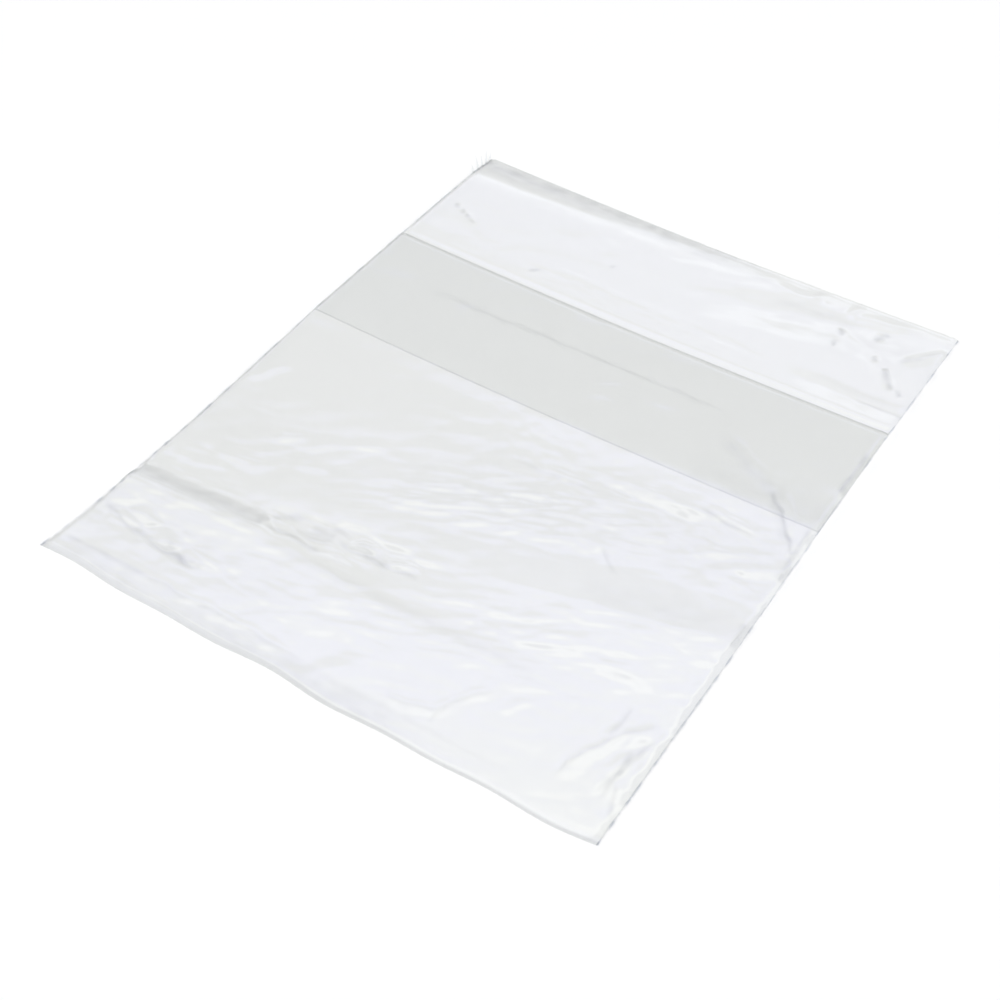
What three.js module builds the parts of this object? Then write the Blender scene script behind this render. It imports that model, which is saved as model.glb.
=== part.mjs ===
// A clear film sandwich bag with a flip-top flap, lying empty on its back.
// One web of film makes the front panel, turns at the bottom fold, makes the back panel, turns again
// at the top fold and ends in a flap under the back panel. A melted bead closes each side.
// X runs across the bag, Y from the bottom fold to the top fold, and Z up from the table.
import * as THREE from "three";

// Driving dimensions, millimetres
const BAG_WIDTH = 170; // across the two side welds, at the bottom fold
const POCKET_DEPTH = 161; // bottom fold to the mouth, which is the front panel's free edge
const LIP_HEIGHT = 50; // mouth to top fold, where the front panel leaves the back panel bare
const FLAP_LENGTH = 95; // top fold to the flap's free edge
const FILM = 0.02; // thickness of the film
const WELD_WIDTH = 1.2; // melted bead along each side
const FOLD_WIDTH = 0.8; // film that turns round at each fold
const LAYER_GAP = 0.3; // air between two layers that lie on each other
const LEFT_DRAW = 4.5; // how far the left weld is drawn in at the top fold
const BOTTOM_BOW = 1.3; // how far the bottom fold's ends lie behind its middle
const CORNER_LIFT = 2.0; // height of the curled corner at the left end of the top fold
const CORNER_REACH = 45; // length of edge over which that corner curls up
const PILLOW_HEIGHT = 3.2; // air held open by the springy bottom fold
const PILLOW_CREST = 11; // bottom fold to the top of that pillow
const PILLOW_REACH = 58; // bottom fold to where the pillow has run out
const ROLL_HEIGHT = 1.9; // air held open by the top fold
const ROLL_CREST = 8; // top fold to the top of that roll
const ROLL_REACH = 34; // top fold to where the roll has run out
const RIDGE_HEIGHT = 2.4; // height of the tallest wrinkle
const RIDGE_SPREAD = 14; // half width of the widest wrinkle
const SIDE_RUN = 12; // distance in from a weld over which wrinkles grow to full height
const EDGE_RUN = 14; // distance in from a free edge over which wrinkles grow to full height
const STEP_RUN = 8; // length of back panel that slopes down from the flap to the table
const BODY_CELL = 6.4; // facet size where the film is wrinkled
const SMOOTH_CELL = 9.5; // facet size where the film is smooth

// Sizes that follow
const BAG_LENGTH = POCKET_DEPTH + LIP_HEIGHT;
const FLAP_EDGE = BAG_LENGTH - FLAP_LENGTH;

// Wrinkles of the front panel. Ends are shares across the width and along the pocket, and height and
// spread are shares of the largest.
const FRONT_WRINKLES = [
  { from: [0.0, 0.22], to: [0.27, 0.25], height: 1.0, spread: 0.5 }, // sharp ridge from the left weld
  { from: [0.27, 0.25], to: [0.75, 0.24], height: 0.45, spread: 0.65 }, // its soft run-out
  { from: [0.02, 0.1], to: [0.24, 0.08], height: 0.45, spread: 0.5 }, // crumple by the left corner
  { from: [0.4, 0.33], to: [1.0, 0.52], height: 0.8, spread: 1.0 }, // broad slanting swell
  { from: [0.38, 0.4], to: [0.7, 0.53], height: 0.4, spread: 0.5 }, // fan of streaks beside it
  { from: [0.7, 0.62], to: [0.86, 0.64], height: 0.4, spread: 0.55 }, // small swell near the right weld
  { from: [0.76, 0.83], to: [0.98, 0.66], height: 0.55, spread: 0.5 }, // crease across the flap's edge
  { from: [0.2, 0.9], to: [0.76, 0.9], height: 0.3, spread: 0.6 }, // crease along the mouth
  { from: [0.1, 0.36], to: [0.3, 0.45], height: 0.4, spread: 0.6 }, // low swell on the left
  { from: [0.88, 0.1], to: [0.97, 0.22], height: 0.4, spread: 0.45 }, // pucker by the right corner
];

// Wrinkles of the bare lip, as shares across the width and from the mouth to the top fold
const LIP_WRINKLES = [
  { from: [0.56, 0.4], to: [0.95, 0.84], height: 0.55, spread: 0.75 }, // long slanting fold
  { from: [0.55, 0.17], to: [1.0, 0.1], height: 0.35, spread: 0.5 }, // fold beside the mouth
  { from: [0.86, 0.55], to: [0.98, 0.3], height: 0.45, spread: 0.4 }, // crumple by the right weld
];

// 1 inside the run's far end, falling smoothly to 0 at the edge
function fadeIn(distance, run) {
  return THREE.MathUtils.smoothstep(distance, 0, run);
}

// A bulge beside a fold: 0 at the fold, highest at the crest, and gone at the reach
function foldBulge(distance, height, crest, reach) {
  if (distance < crest) {
    return height * Math.sin((distance / crest) * (Math.PI / 2));
  }
  return height * (1 - THREE.MathUtils.smoothstep(distance, crest, reach));
}

// Summed height of straight wrinkles at a point, with each wrinkle's ends given in shares
function wrinkleHeight(wrinkles, point, placeEnd) {
  const nearest = new THREE.Vector3();
  let height = 0;
  for (const wrinkle of wrinkles) {
    const line = new THREE.Line3(placeEnd(wrinkle.from), placeEnd(wrinkle.to));
    line.closestPointToPoint(point, true, nearest);
    const away = nearest.distanceTo(point) / (wrinkle.spread * RIDGE_SPREAD);
    height += wrinkle.height * RIDGE_HEIGHT * (1 - THREE.MathUtils.smoothstep(away, 0, 1));
  }
  return height;
}

// How far the layers part at a place, given by its distances from the left weld and the bottom fold
function frontRelief(across, along) {
  const point = new THREE.Vector3(across, along, 0);
  const placeEnd = ([acrossShare, alongShare]) =>
    new THREE.Vector3(acrossShare * BAG_WIDTH, alongShare * POCKET_DEPTH, 0);
  const sides = fadeIn(Math.min(across, BAG_WIDTH - across), SIDE_RUN);
  const mouth = fadeIn(POCKET_DEPTH - along, EDGE_RUN);
  const pillow = foldBulge(along, PILLOW_HEIGHT, PILLOW_CREST, PILLOW_REACH);
  const wrinkles = wrinkleHeight(FRONT_WRINKLES, point, placeEnd) * fadeIn(along, EDGE_RUN) * mouth;
  return (pillow + wrinkles) * sides;
}

function lipRelief(across, along) {
  const fromTopFold = BAG_LENGTH - along;
  const point = new THREE.Vector3(across, along, 0);
  const placeEnd = ([acrossShare, alongShare]) =>
    new THREE.Vector3(acrossShare * BAG_WIDTH, POCKET_DEPTH + alongShare * LIP_HEIGHT, 0);
  const sides = fadeIn(Math.min(across, BAG_WIDTH - across), SIDE_RUN);
  const roll = foldBulge(fromTopFold, ROLL_HEIGHT, ROLL_CREST, ROLL_REACH);
  const wrinkles = wrinkleHeight(LIP_WRINKLES, point, placeEnd) * fadeIn(fromTopFold, EDGE_RUN);
  const flapEdge = fadeIn(along - FLAP_EDGE, EDGE_RUN);
  return (roll + wrinkles) * sides * flapEdge;
}

// Height of the table-side face of the stack, raised only where the top fold's left corner curls up
function underside(across, along) {
  const fromCorner = Math.hypot(across, BAG_LENGTH - along);
  return CORNER_LIFT * (1 - fadeIn(fromCorner, CORNER_REACH));
}

// Heights of the faces of the three layers at a place: the flap's two, the back panel's, the front's
function layerHeights(across, along) {
  const flapBottom = underside(across, along);
  const flapTop = flapBottom + FILM;
  const onFlap = THREE.MathUtils.smoothstep(along, FLAP_EDGE - STEP_RUN, FLAP_EDGE);
  const backBottom = flapBottom + (FILM + LAYER_GAP) * onFlap + lipRelief(across, along);
  const backTop = backBottom + FILM;
  const frontBottom = backTop + LAYER_GAP + frontRelief(across, along);
  return [flapBottom, flapTop, backBottom, backTop, frontBottom, frontBottom + FILM];
}

// Place in the plane: the left weld is drawn in towards the top, and the bottom fold is bowed
function placeOnTable(across, along) {
  const left = -BAG_WIDTH / 2 + LEFT_DRAW * (along / BAG_LENGTH);
  const x = THREE.MathUtils.mapLinear(across, 0, BAG_WIDTH, left, BAG_WIDTH / 2);
  const offMiddle = (2 * across) / BAG_WIDTH - 1;
  const behind = BOTTOM_BOW * offMiddle * offMiddle * (1 - along / BAG_LENGTH);
  return [x, along + behind - BAG_LENGTH / 2];
}

// Lattice lines from one place to the next, about one cell apart
function divide(start, end, cell) {
  const count = Math.max(1, Math.round((end - start) / cell));
  return Array.from({ length: count }, (_, step) => start + ((end - start) * step) / count);
}

function latticeLines(marks, cells) {
  const lines = cells.flatMap((cell, index) => divide(marks[index], marks[index + 1], cell));
  return [...lines, marks[marks.length - 1]];
}

const columnLines = latticeLines(
  [0, WELD_WIDTH, BAG_WIDTH - WELD_WIDTH, BAG_WIDTH],
  [WELD_WIDTH, BODY_CELL, WELD_WIDTH],
);
const rowLines = latticeLines(
  [0, FOLD_WIDTH, FLAP_EDGE, POCKET_DEPTH, BAG_LENGTH - FOLD_WIDTH, BAG_LENGTH],
  [FOLD_WIDTH, BODY_CELL, SMOOTH_CELL, SMOOTH_CELL, FOLD_WIDTH],
);
const columnCount = columnLines.length - 1;
const rowCount = rowLines.length - 1;

// Cells of the stack, from the table up. Between two films there is air, except in the welds and folds.
const [FLAP, FLAP_AIR, BACK, POCKET_AIR, FRONT] = [0, 1, 2, 3, 4];

function isFilm(column, row, layer) {
  if (column < 0 || column >= columnCount || row < 0 || row >= rowCount || layer < FLAP || layer > FRONT) {
    return false;
  }
  const inWeld = column === 0 || column === columnCount - 1;
  const overFlap = rowLines[row] >= FLAP_EDGE;
  const underFront = rowLines[row + 1] <= POCKET_DEPTH;
  switch (layer) {
    case FLAP:
      return overFlap;
    case FLAP_AIR:
      return overFlap && (inWeld || row === rowCount - 1);
    case POCKET_AIR:
      return underFront && (inWeld || row === 0);
    case FRONT:
      return underFront;
    default:
      return true;
  }
}

// The six sides of a lattice cell: the neighbour's step, and the side's corners seen from outside
const CELL_SIDES = [
  { step: [-1, 0, 0], corners: [[0, 0, 0], [0, 0, 1], [0, 1, 1], [0, 1, 0]] },
  { step: [1, 0, 0], corners: [[1, 0, 0], [1, 1, 0], [1, 1, 1], [1, 0, 1]] },
  { step: [0, -1, 0], corners: [[0, 0, 0], [1, 0, 0], [1, 0, 1], [0, 0, 1]] },
  { step: [0, 1, 0], corners: [[0, 1, 0], [0, 1, 1], [1, 1, 1], [1, 1, 0]] },
  { step: [0, 0, -1], corners: [[0, 0, 0], [0, 1, 0], [1, 1, 0], [1, 0, 0]] },
  { step: [0, 0, 1], corners: [[0, 0, 1], [1, 0, 1], [1, 1, 1], [0, 1, 1]] },
];

// The skin of all film cells: one closed surface, open to the air at the mouth and at the flap's edge
function bagGeometry() {
  const positions = [];
  const triangles = [];
  const vertexNumbers = new Map();

  function vertex(column, row, level) {
    const key = `${column},${row},${level}`;
    if (!vertexNumbers.has(key)) {
      const across = columnLines[column];
      const along = rowLines[row];
      const [x, y] = placeOnTable(across, along);
      vertexNumbers.set(key, positions.length / 3);
      positions.push(x, y, layerHeights(across, along)[level]);
    }
    return vertexNumbers.get(key);
  }

  function addSides(column, row, layer) {
    for (const { step, corners } of CELL_SIDES) {
      if (isFilm(column + step[0], row + step[1], layer + step[2])) {
        continue;
      }
      const [a, b, c, d] = corners.map((corner) =>
        vertex(column + corner[0], row + corner[1], layer + corner[2]),
      );
      triangles.push(a, b, c, a, c, d);
    }
  }

  for (let column = 0; column < columnCount; column += 1) {
    for (let row = 0; row < rowCount; row += 1) {
      for (let layer = FLAP; layer <= FRONT; layer += 1) {
        if (isFilm(column, row, layer)) {
          addSides(column, row, layer);
        }
      }
    }
  }

  const geometry = new THREE.BufferGeometry();
  geometry.setAttribute("position", new THREE.Float32BufferAttribute(positions, 3));
  geometry.setIndex(triangles);
  geometry.computeVertexNormals();
  return geometry;
}

const clearFilm = new THREE.MeshStandardMaterial({
  color: 0xeef1f2,
  roughness: 0.12,
  metalness: 0,
  transparent: true,
  opacity: 0.25,
  side: THREE.DoubleSide,
});

const bagFilm = new THREE.Mesh(bagGeometry(), clearFilm);
bagFilm.name = "bag_film";

const sandwichBag = new THREE.Group();
sandwichBag.name = "sandwich_bag";
sandwichBag.add(bagFilm);

export default sandwichBag;
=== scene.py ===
"""Clear film sandwich bag with a flip-top flap, lying empty on a white table.

The film is one web: front panel, bottom fold, back panel, top fold, flap. Its mesh is worked out in
millimetres. Each point has a place on the web, across from the left weld and along from the bottom
fold, and a place on the table, x and y from the bag's middle.
"""
import math
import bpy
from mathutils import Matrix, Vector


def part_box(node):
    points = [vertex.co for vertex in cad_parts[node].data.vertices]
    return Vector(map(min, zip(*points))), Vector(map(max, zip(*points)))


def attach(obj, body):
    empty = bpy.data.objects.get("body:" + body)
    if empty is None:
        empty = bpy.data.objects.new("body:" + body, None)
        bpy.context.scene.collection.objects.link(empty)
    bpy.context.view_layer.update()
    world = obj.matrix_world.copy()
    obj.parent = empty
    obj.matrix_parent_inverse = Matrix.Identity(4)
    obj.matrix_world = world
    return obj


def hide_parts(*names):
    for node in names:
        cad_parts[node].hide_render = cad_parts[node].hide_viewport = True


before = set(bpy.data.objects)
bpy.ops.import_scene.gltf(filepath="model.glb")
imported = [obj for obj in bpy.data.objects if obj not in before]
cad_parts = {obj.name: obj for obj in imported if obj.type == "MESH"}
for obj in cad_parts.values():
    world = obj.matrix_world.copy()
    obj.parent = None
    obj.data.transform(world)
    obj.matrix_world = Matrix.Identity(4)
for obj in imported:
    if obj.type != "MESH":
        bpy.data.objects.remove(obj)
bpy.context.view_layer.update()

from types import SimpleNamespace

import bpy
import numpy as np
from mathutils import Matrix, Vector, noise

MM = 0.001

# Sizes of the bag in millimetres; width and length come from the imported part
BOX_LOW, BOX_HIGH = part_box("bag_film")
BAG_WIDTH = (BOX_HIGH.x - BOX_LOW.x) / MM
BAG_LENGTH = (BOX_HIGH.y - BOX_LOW.y) / MM
LIP_HEIGHT = 50  # mouth to top fold
FLAP_LENGTH = 95  # top fold to the flap's free edge
POCKET_DEPTH = BAG_LENGTH - LIP_HEIGHT
FLAP_EDGE = BAG_LENGTH - FLAP_LENGTH
WEB_LENGTH = POCKET_DEPTH + BAG_LENGTH + FLAP_LENGTH
LAYER_GAP = 0.25  # air between layers that lie on each other
LEFT_DRAW = 4.5  # how far the left weld is drawn in at the top fold
BOTTOM_BOW = 1.3  # how far the bottom fold's left end lies behind its middle
TOP_BOW = 1.2  # how far the top fold is drawn in at its middle
CORNER_REACH = 1.4  # how far the top fold's left corner is pulled out
NEAR_CORNER = 2.0  # how far the bottom fold's left corner is pulled out
NEAR_CORNER_RUN = 14  # length over which that fades along the bag
NEAR_CORNER_SPAN = 40  # length over which it fades across the bag
EDGE_WAVE = 0.35  # depth of each of the two waves along the bottom fold
EDGE_WAVE_LONG = 9  # length across for each radian of the longer wave
EDGE_WAVE_SHORT = 5.3  # and of the shorter one
EDGE_WAVE_RUN = 12  # length over which they fade along the bag
BOTTOM_DIP = 1.0  # how far the bottom fold sags outwards on the right
BOTTOM_DIP_ACROSS = 130  # where that is, from the left weld
BOTTOM_DIP_SPAN = 45  # how far it spreads across
BOTTOM_DIP_RUN = 20  # length over which it fades along the bag
MOUTH_RISE = 1.8  # height at which the lowest layer lies between the flap's edge and the mouth
SLOPE_ROUNDING = 4  # rounding where its slope from the flap's edge meets the table
SLACK = 0.5  # air under loose film
FOLD_SLACK = 0.3  # share of that air at the bottom fold
SLACK_RUN = 22  # distance from the bottom fold over which it grows to all of it
ROLL_SLOPE = 0.12  # steepness of the film beside the top fold
ROLL_ROUNDING = 2.5  # rounding where that slope ends
STEP_WALL = 6.6  # length of the step at the far end of the bottom pillow
BOTTOM_RUN = 1.2  # distance from the bottom fold over which the pillow opens
PILLOW_START = 0.7  # share of the pillow's height that it opens to there
PILLOW_RUN = 33  # distance from the bottom fold to its full height
BACK_PILLOW = 0.8  # share of that height by which the back panel is raised
FRONT_PILLOW = 0.2  # share by which the front panel stands above the back panel
FLAP_RUN = 6  # length of back panel that rises onto the flap
LIP_RUN = 3  # length beyond the mouth over which the lip comes loose
PRESSED_RUN = (-0.3, 1.5)  # distance from the mouth over which the front panel comes loose
SIDE_RUN = 1.5  # distance in from a weld over which film comes loose
EDGE_RUN = 4  # distance in from a fold or the mouth over which crinkles grow
WANDER = 0.8  # how far creases stray to and fro
WANDER_SIZE = 5
SEED_MIX = 0.37  # gives each field of crinkles its own noise
PUCKER_HEIGHT = 0.26  # waves beside the welds
PUCKER_LIFT = 0.4  # share by which they stand up more than down
PUCKER_REACH = 4  # length over which they fade away from the weld
PUCKER_RUN = 2  # distance from the weld over which they grow
CUT_EDGE = 0.4  # row spacing at the flap's free edge
WELD_HALF_WIDTH = 0.28
WELD_HALF_HEIGHT = 0.2
BEAD_SWELL = 0.5  # share by which the beads vary in size
RING_POINTS = 10
WISP_HALF_WIDTH = 0.45
WISP_HALF_HEIGHT = 0.05
WISP_HEIGHT = 0.4  # height at which the torn slivers lie
WISP_RINGS = 6
WISP_END = 0.95  # share of a sliver's length at which its taper stops

# Sizes that change across the bag: x of each station, then the size there
SLOPE_END = ((-85, -22, -6, 30, 85), (-42, -40, -42, -46, -40))
ROLL_WIDTH = ((-80, -40, 8), (11.5, 8.5, 1.5))
STEP_LINE = ((-85, -42, -20, 0, 50), (-68.7, -65.7, -67.5, -69.5, -70))
PILLOW_HEIGHT = ((-85, -45, -15, 10, 60), (1.3, 1.25, 0.6, 0.3, 0.1))

# Share of painted shade that darkens the cut edges and the bottom fold, and how unevenly the painted shade
# in folds varies
MOUTH_EDGE_SHADE = 0.42
FLAP_EDGE_SHADE = 0.35
FOLD_EDGE_SHADE = 0.3
SHADE_MOTTLE = 0.6

# Mesh spacing in millimetres
COLUMN_STEP = 0.75
BODY_STEP = 0.48
STRIP_STEP = 1.0
LIP_STEP = 0.75
BACK_STEP = 3.0
FLAP_STEP = 6.0
BEAD_STEP = 1.2
FOLD_ROWS = 5

# Camera, from the perspective of the photograph's four corners
CAMERA_TARGET = Vector((0.0062, -0.0239, 0.0))
CAMERA_DISTANCE = 0.5142
CAMERA_AZIMUTH = math.radians(32.12)
CAMERA_ELEVATION = math.radians(45.66)
CAMERA_ROLL = math.radians(0.58)
CAMERA_LENS = 68.05
SENSOR_WIDTH = 36

# Film: colour let through by one layer and by the flap, the colour of painted shade, colour let through by
# the beads, its gloss, its scuffs
# One layer's tint is partly the film's own grey-green and partly painted shade: darker than clear film,
# standing in for the shade under the bag, which the film does not cast
BODY_TINT_AND_SHADE = (0.954, 0.959, 0.953)
FLAP_TINT = (0.983, 0.987, 0.985)
PAINTED_SHADE_TINT = (0.60, 0.611, 0.625)
BEAD_TINT = (0.87, 0.88, 0.90)
CLEAR_BEAD_TINT = (0.985, 0.985, 0.985)
LUMP_SCALE = 260.0
LUMP_RANGE = (0.42, 0.66)
FACE_MIRROR = 0.04  # share that one face of the film mirrors when seen straight on
FILM_ROUGHNESS = 0.1
FLAP_MIRROR = 0.65
BEAD_ROUGHNESS = 0.2
BEAD_MIRROR = 0.6
SCUFF_SCALE = 110.0
SCUFF_HAZE = 0.016
SCUFF_COLOUR = (0.9, 0.92, 0.93)

# Room and table: brightness, colours, and lengths in metres
ROOM_LEVEL = 0.11
WALL_LEVEL = 0.9
WALL_FADE = (0.3, -0.3)  # cosine to the view's direction where walls begin and are at full level
WALL_RISE = (0.1, 0.5)  # sine of the height where they begin and end to brighten
LOW_WALL_SHARE = 0.3
ROOM_COLOUR = (0.92, 0.95, 1.0)
KEY_LEVEL = 4.08
BOX_TURN = 100
BOX_ELEVATION = 48
BOX_DISTANCE = 2.1
BOX_SIZE = 1.54
PAINT = (0.94, 0.94, 0.94)
TABLE_GLOW = 0.075
FAR_GLOW = 0.85
GLOW_RANGE = (0.7, 3.0)  # distance at which the glow begins and ends to grow
TABLE_HALF_SIZE = 6.0
TABLE_DROP = 0.1 * MM  # table top below the film, so that they don't share a plane
PANEL_DISTANCE = 1.3
PANEL_LENGTH = 2.2
SKY = (0.56, 0.55, 1.0)
BRIGHT_SKY = (0.8, 0.82, 1.0)
WARM = (1.0, 1.0, 0.94)
WHITE = (1.0, 1.0, 1.0)

# Panels that only gloss shows: edge as two bag points, low and high end above it, brightness, colour
BACK_EDGE = ((-85, 74), (85, 88))
ROOF_EDGE = ((-85, -106), (85, 2))
MIRROR_PANELS = [
    ("back_panel", BACK_EDGE, -0.13, 0.0, 0.52, SKY),
    ("back_strip", BACK_EDGE, -0.21, -0.13, 1.15, BRIGHT_SKY),
    ("roof_rim", ROOF_EDGE, -0.04, 0.02, 0.3, SKY),
    ("roof_low", ROOF_EDGE, 0.02, 0.07, 0.68, SKY),
    ("roof_middle", ROOF_EDGE, 0.07, 0.18, 0.92, SKY),
    ("roof_high", ROOF_EDGE, 0.18, 0.28, 0.7, BRIGHT_SKY),
    ("roof_strip", ROOF_EDGE, 0.28, 0.48, 1.25, WARM),
]

# Crinkles over the whole front panel: height, and the noise that shapes them
FRONT_CRINKLES = [
    (0.2, dict(size=16, stretch=2.2, slant=18, seed=2.5)),
    (0.12, dict(size=9, stretch=2.0, slant=22, seed=5.5, basis="VORONOI_F2F1")),
    (0.085, dict(size=2.8, stretch=2.5, slant=24, seed=3.5)),
]

# Smoother patches: the share of those crinkles that each takes away, and where it fades in
STRIP_CALM = 0.7
STRIP_FADE = (-8, 4)
NEAR_RIGHT_CALM = 0.6
NEAR_RIGHT_X = (-35, 5)
NEAR_RIGHT_Y = (-64, -80)
LEFT_BODY_CALM = 0.55
LEFT_BODY_X = (-5, -40)
LEFT_BODY_Y = (-62, -50)
SMOOTH_BAND = dict(start=(0, -48), end=(130, -18), height=0.85, width=9, far_width=9, power=0.5)

# Creases seen on the front panel: ends on the table, height, reach towards the bottom and the top fold
FRONT_CREASES = [
    dict(start=(-104, -73), end=(-36, -68.4), height=0.8, width=10, far_width=6.6, taper=0.2),
    dict(start=(-84, -97.6), end=(-2, -97.6), height=0.2, width=4, far_width=1.5),
    dict(start=(-10, -103), end=(5, -83), height=-0.45, width=6, far_width=14),
    dict(start=(-8, -56), end=(140, -23), height=1.0, width=34, far_width=14),
    dict(start=(70, 20), end=(84, -4), height=0.4, width=4, far_width=1.6, bend=1.5),
    dict(start=(42, 34), end=(76, 14), height=0.2, width=4, far_width=2.5),
    dict(start=(-48, 30), end=(-39, 31.5), height=0.2, width=1.5, far_width=7, taper=0.5),
    dict(start=(16, 29.5), end=(35, 32), height=0.2, width=1.5, far_width=7, taper=0.5),
    dict(start=(2, 21.5), end=(18, 27), height=0.2, width=1.5, far_width=7, taper=0.5),
    dict(start=(-18, 46.5), end=(-1, 51), height=0.18, width=1.6, far_width=6.5, taper=0.5),
    dict(start=(-82, 34), end=(-60, 37), height=0.18, width=1.6, far_width=6.5, taper=0.5),
    dict(start=(-86, -64.4), end=(-40, -61.2), height=0.12, width=1.5, far_width=1.5, taper=0.1),
    dict(start=(-88, -74.6), end=(-38, -70.9), height=0.12, width=1.5, far_width=1.5, taper=0.1),
    dict(start=(28, -1), end=(62, -0.5), height=0.5, width=4, far_width=9),
    dict(start=(2, -8), end=(30, -7.4), height=0.12, width=2.5, far_width=1.5),
    dict(start=(54, 3.5), end=(74, 0.5), height=0.25, width=3, far_width=1.6),
    dict(start=(42, -78), end=(31, -98), height=0.15, width=4, far_width=1.5, bend=2),
    dict(start=(16, -96), end=(34, -90.5), height=0.12, width=4, far_width=1.5, bend=-2),
    dict(start=(65, -96), end=(82, -66), height=0.2, width=5, far_width=1.6, bend=2),
    dict(start=(71, -79), end=(72.5, -66), height=0.15, width=4, far_width=1.5),
    dict(start=(77, -94), end=(78, -74), height=0.16, width=3.5, far_width=1.6),
    dict(start=(81, -94), end=(82, -72), height=0.14, width=3, far_width=1.6),
    dict(start=(40, -65), end=(54, -56), height=0.24, width=3.2, far_width=18),
    dict(start=(55, -59.5), end=(75, -58.5), height=0.25, width=3.4, far_width=20),
    dict(start=(45, -86), end=(51, -78), height=0.18, width=2.2, far_width=3),
    dict(start=(62, -19), end=(92, -3), height=0.22, width=3.6, far_width=4),
    dict(start=(58, -15), end=(82, -2), height=0.16, width=2.6, far_width=3),
    dict(start=(-22, -42), end=(8, -28), height=0.3, width=3.5, far_width=3),
    dict(start=(2, -36), end=(44, -22), height=0.25, width=3.5, far_width=4),
    dict(start=(-60, -38), end=(-50, -33), height=0.3, width=2.6, far_width=2),
    dict(start=(-51, -44), end=(-38, -40), height=0.25, width=2.6, far_width=2.5),
    dict(start=(-42, -31), end=(-30, -24), height=0.25, width=2.6, far_width=3),
    dict(start=(-82, -24), end=(-73, -10), height=0.3, width=3, far_width=3),
    dict(start=(-80, -59), end=(-68, -56), height=0.25, width=2.6, far_width=2.6),
    dict(start=(-72, -53), end=(-58, -48), height=0.25, width=2.6, far_width=2.6),
]

# Creases seen on the bare lip of the back panel
LIP_CREASES = [
    dict(start=(-2, 78), end=(82, 99.5), height=-0.42, width=13, far_width=10, taper=0.4, soft=True),
    dict(start=(24, 99), end=(53, 96), height=0.22, width=3, far_width=3.5),
    dict(start=(51, 96), end=(74, 102.5), height=0.25, width=3, far_width=3.5),
    dict(start=(44, 63.5), end=(104, 63.5), height=-0.32, width=5, far_width=4),
    dict(start=(72.5, 80.5), end=(77.5, 73), height=0.22, width=2.2, far_width=1.8, taper=0.2),
    dict(start=(64, 96), end=(66, 91), height=0.22, width=2.2, far_width=1.8),
    dict(start=(53.5, 91), end=(55.5, 87.5), height=0.15, width=1.8, far_width=1.6),
    dict(start=(67, 84.5), end=(69, 81.5), height=0.15, width=1.8, far_width=1.6),
    dict(start=(74, 85), end=(88, 100), height=0.3, width=3.5, far_width=2.5),
    dict(start=(42, 97), end=(43, 106), height=0.4, width=2, far_width=2),
    dict(start=(53, 96), end=(55, 105), height=0.4, width=2, far_width=2),
    dict(start=(-40, 67.5), end=(22, 66.5), height=0.06, width=2, far_width=2),
    dict(start=(12, 66), end=(44, 65), height=-0.08, width=2, far_width=2),
]

# Fields of fine crinkles: middle, spread along and across their slant, size, length over width, height.
# Sharp ones are facets between straight edges, and the others are soft waves.
FRONT_FIELDS = [
    dict(middle=(8, -27), spread=(28, 9), slant=26, size=3.2, stretch=4, height=0.18),
    dict(middle=(-8, -33), spread=(20, 8), slant=28, size=2.2, stretch=5, height=0.14),
    dict(middle=(30, -15), spread=(40, 14), slant=22, size=2.4, stretch=5, height=0.05),
    dict(middle=(12, -26), spread=(30, 10), slant=24, size=3.6, stretch=3.5, height=0.22, sharp=True),
    dict(middle=(62, -11), spread=(22, 9), slant=-30, size=7, stretch=1.6, height=0.3, sharp=True),
    dict(middle=(30, -4), spread=(40, 9), slant=0, size=6, stretch=3, height=0.14, sharp=True),
    dict(middle=(30, -62), spread=(46, 8), slant=22, size=5, stretch=2.5, height=0.12, sharp=True),
    dict(middle=(-8, -80), spread=(50, 16), slant=10, size=6, stretch=2.2, height=0.12, sharp=True),
    dict(middle=(30, -70), spread=(50, 20), slant=20, size=3, stretch=4, height=0.05),
    dict(middle=(64, -12), spread=(24, 8), slant=26, size=4.0, stretch=5, height=0.1),
    dict(middle=(44, -50), spread=(30, 5), slant=22, size=3.0, stretch=5, height=0.06),
    dict(middle=(-22, -60), spread=(24, 4.5), slant=8, size=5.5, stretch=1.8, height=1.0, sharp=True),
    dict(middle=(-63, -86), spread=(20, 5.5), slant=-6, size=4.5, stretch=2, height=0.55, sharp=True),
    dict(middle=(-42, -36), spread=(20, 9), slant=30, size=6, stretch=2.5, height=0.22, sharp=True),
    dict(middle=(-64, -52), spread=(18, 6), slant=16, size=6, stretch=2.5, height=0.25, sharp=True),
    dict(middle=(30, 0), spread=(40, 7), slant=2, size=4, stretch=4, height=0.05),
    dict(middle=(4, 0), spread=(50, 10), slant=-35, size=4.5, stretch=1.4, height=0.13, sharp=True),
    dict(middle=(-20, -84), spread=(40, 12), slant=8, size=9, stretch=2.5, height=0.14, sharp=True),
    dict(middle=(40, -54), spread=(44, 12), slant=24, size=5, stretch=4, height=0.1),
    dict(middle=(76, -82), spread=(12, 16), slant=72, size=6, stretch=2.5, height=0.22, sharp=True),
    dict(middle=(20, -88), spread=(40, 12), slant=30, size=7, stretch=3, height=0.1),
    dict(middle=(0, 38), spread=(80, 16), slant=12, size=7, stretch=3, height=0.12),
]
LIP_FIELDS = [
    dict(middle=(68, 86), spread=(11, 9), slant=-38, size=7, stretch=2, height=0.17, sharp=True),
    dict(middle=(-69, 75.5), spread=(6, 1.8), slant=-34, size=2.4, stretch=1, height=0.2),
    dict(middle=(-10, 65), spread=(60, 4), slant=0, size=3, stretch=3, height=0.05),
    dict(middle=(-10, 84), spread=(80, 16), slant=14, size=9, stretch=2.5, height=0.1),
    dict(middle=(-40, 80), spread=(50, 16), slant=20, size=10, stretch=1.6, height=0.07, sharp=True),
    dict(middle=(30, 84), spread=(40, 16), slant=20, size=4, stretch=3, height=0.03),
]
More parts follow.
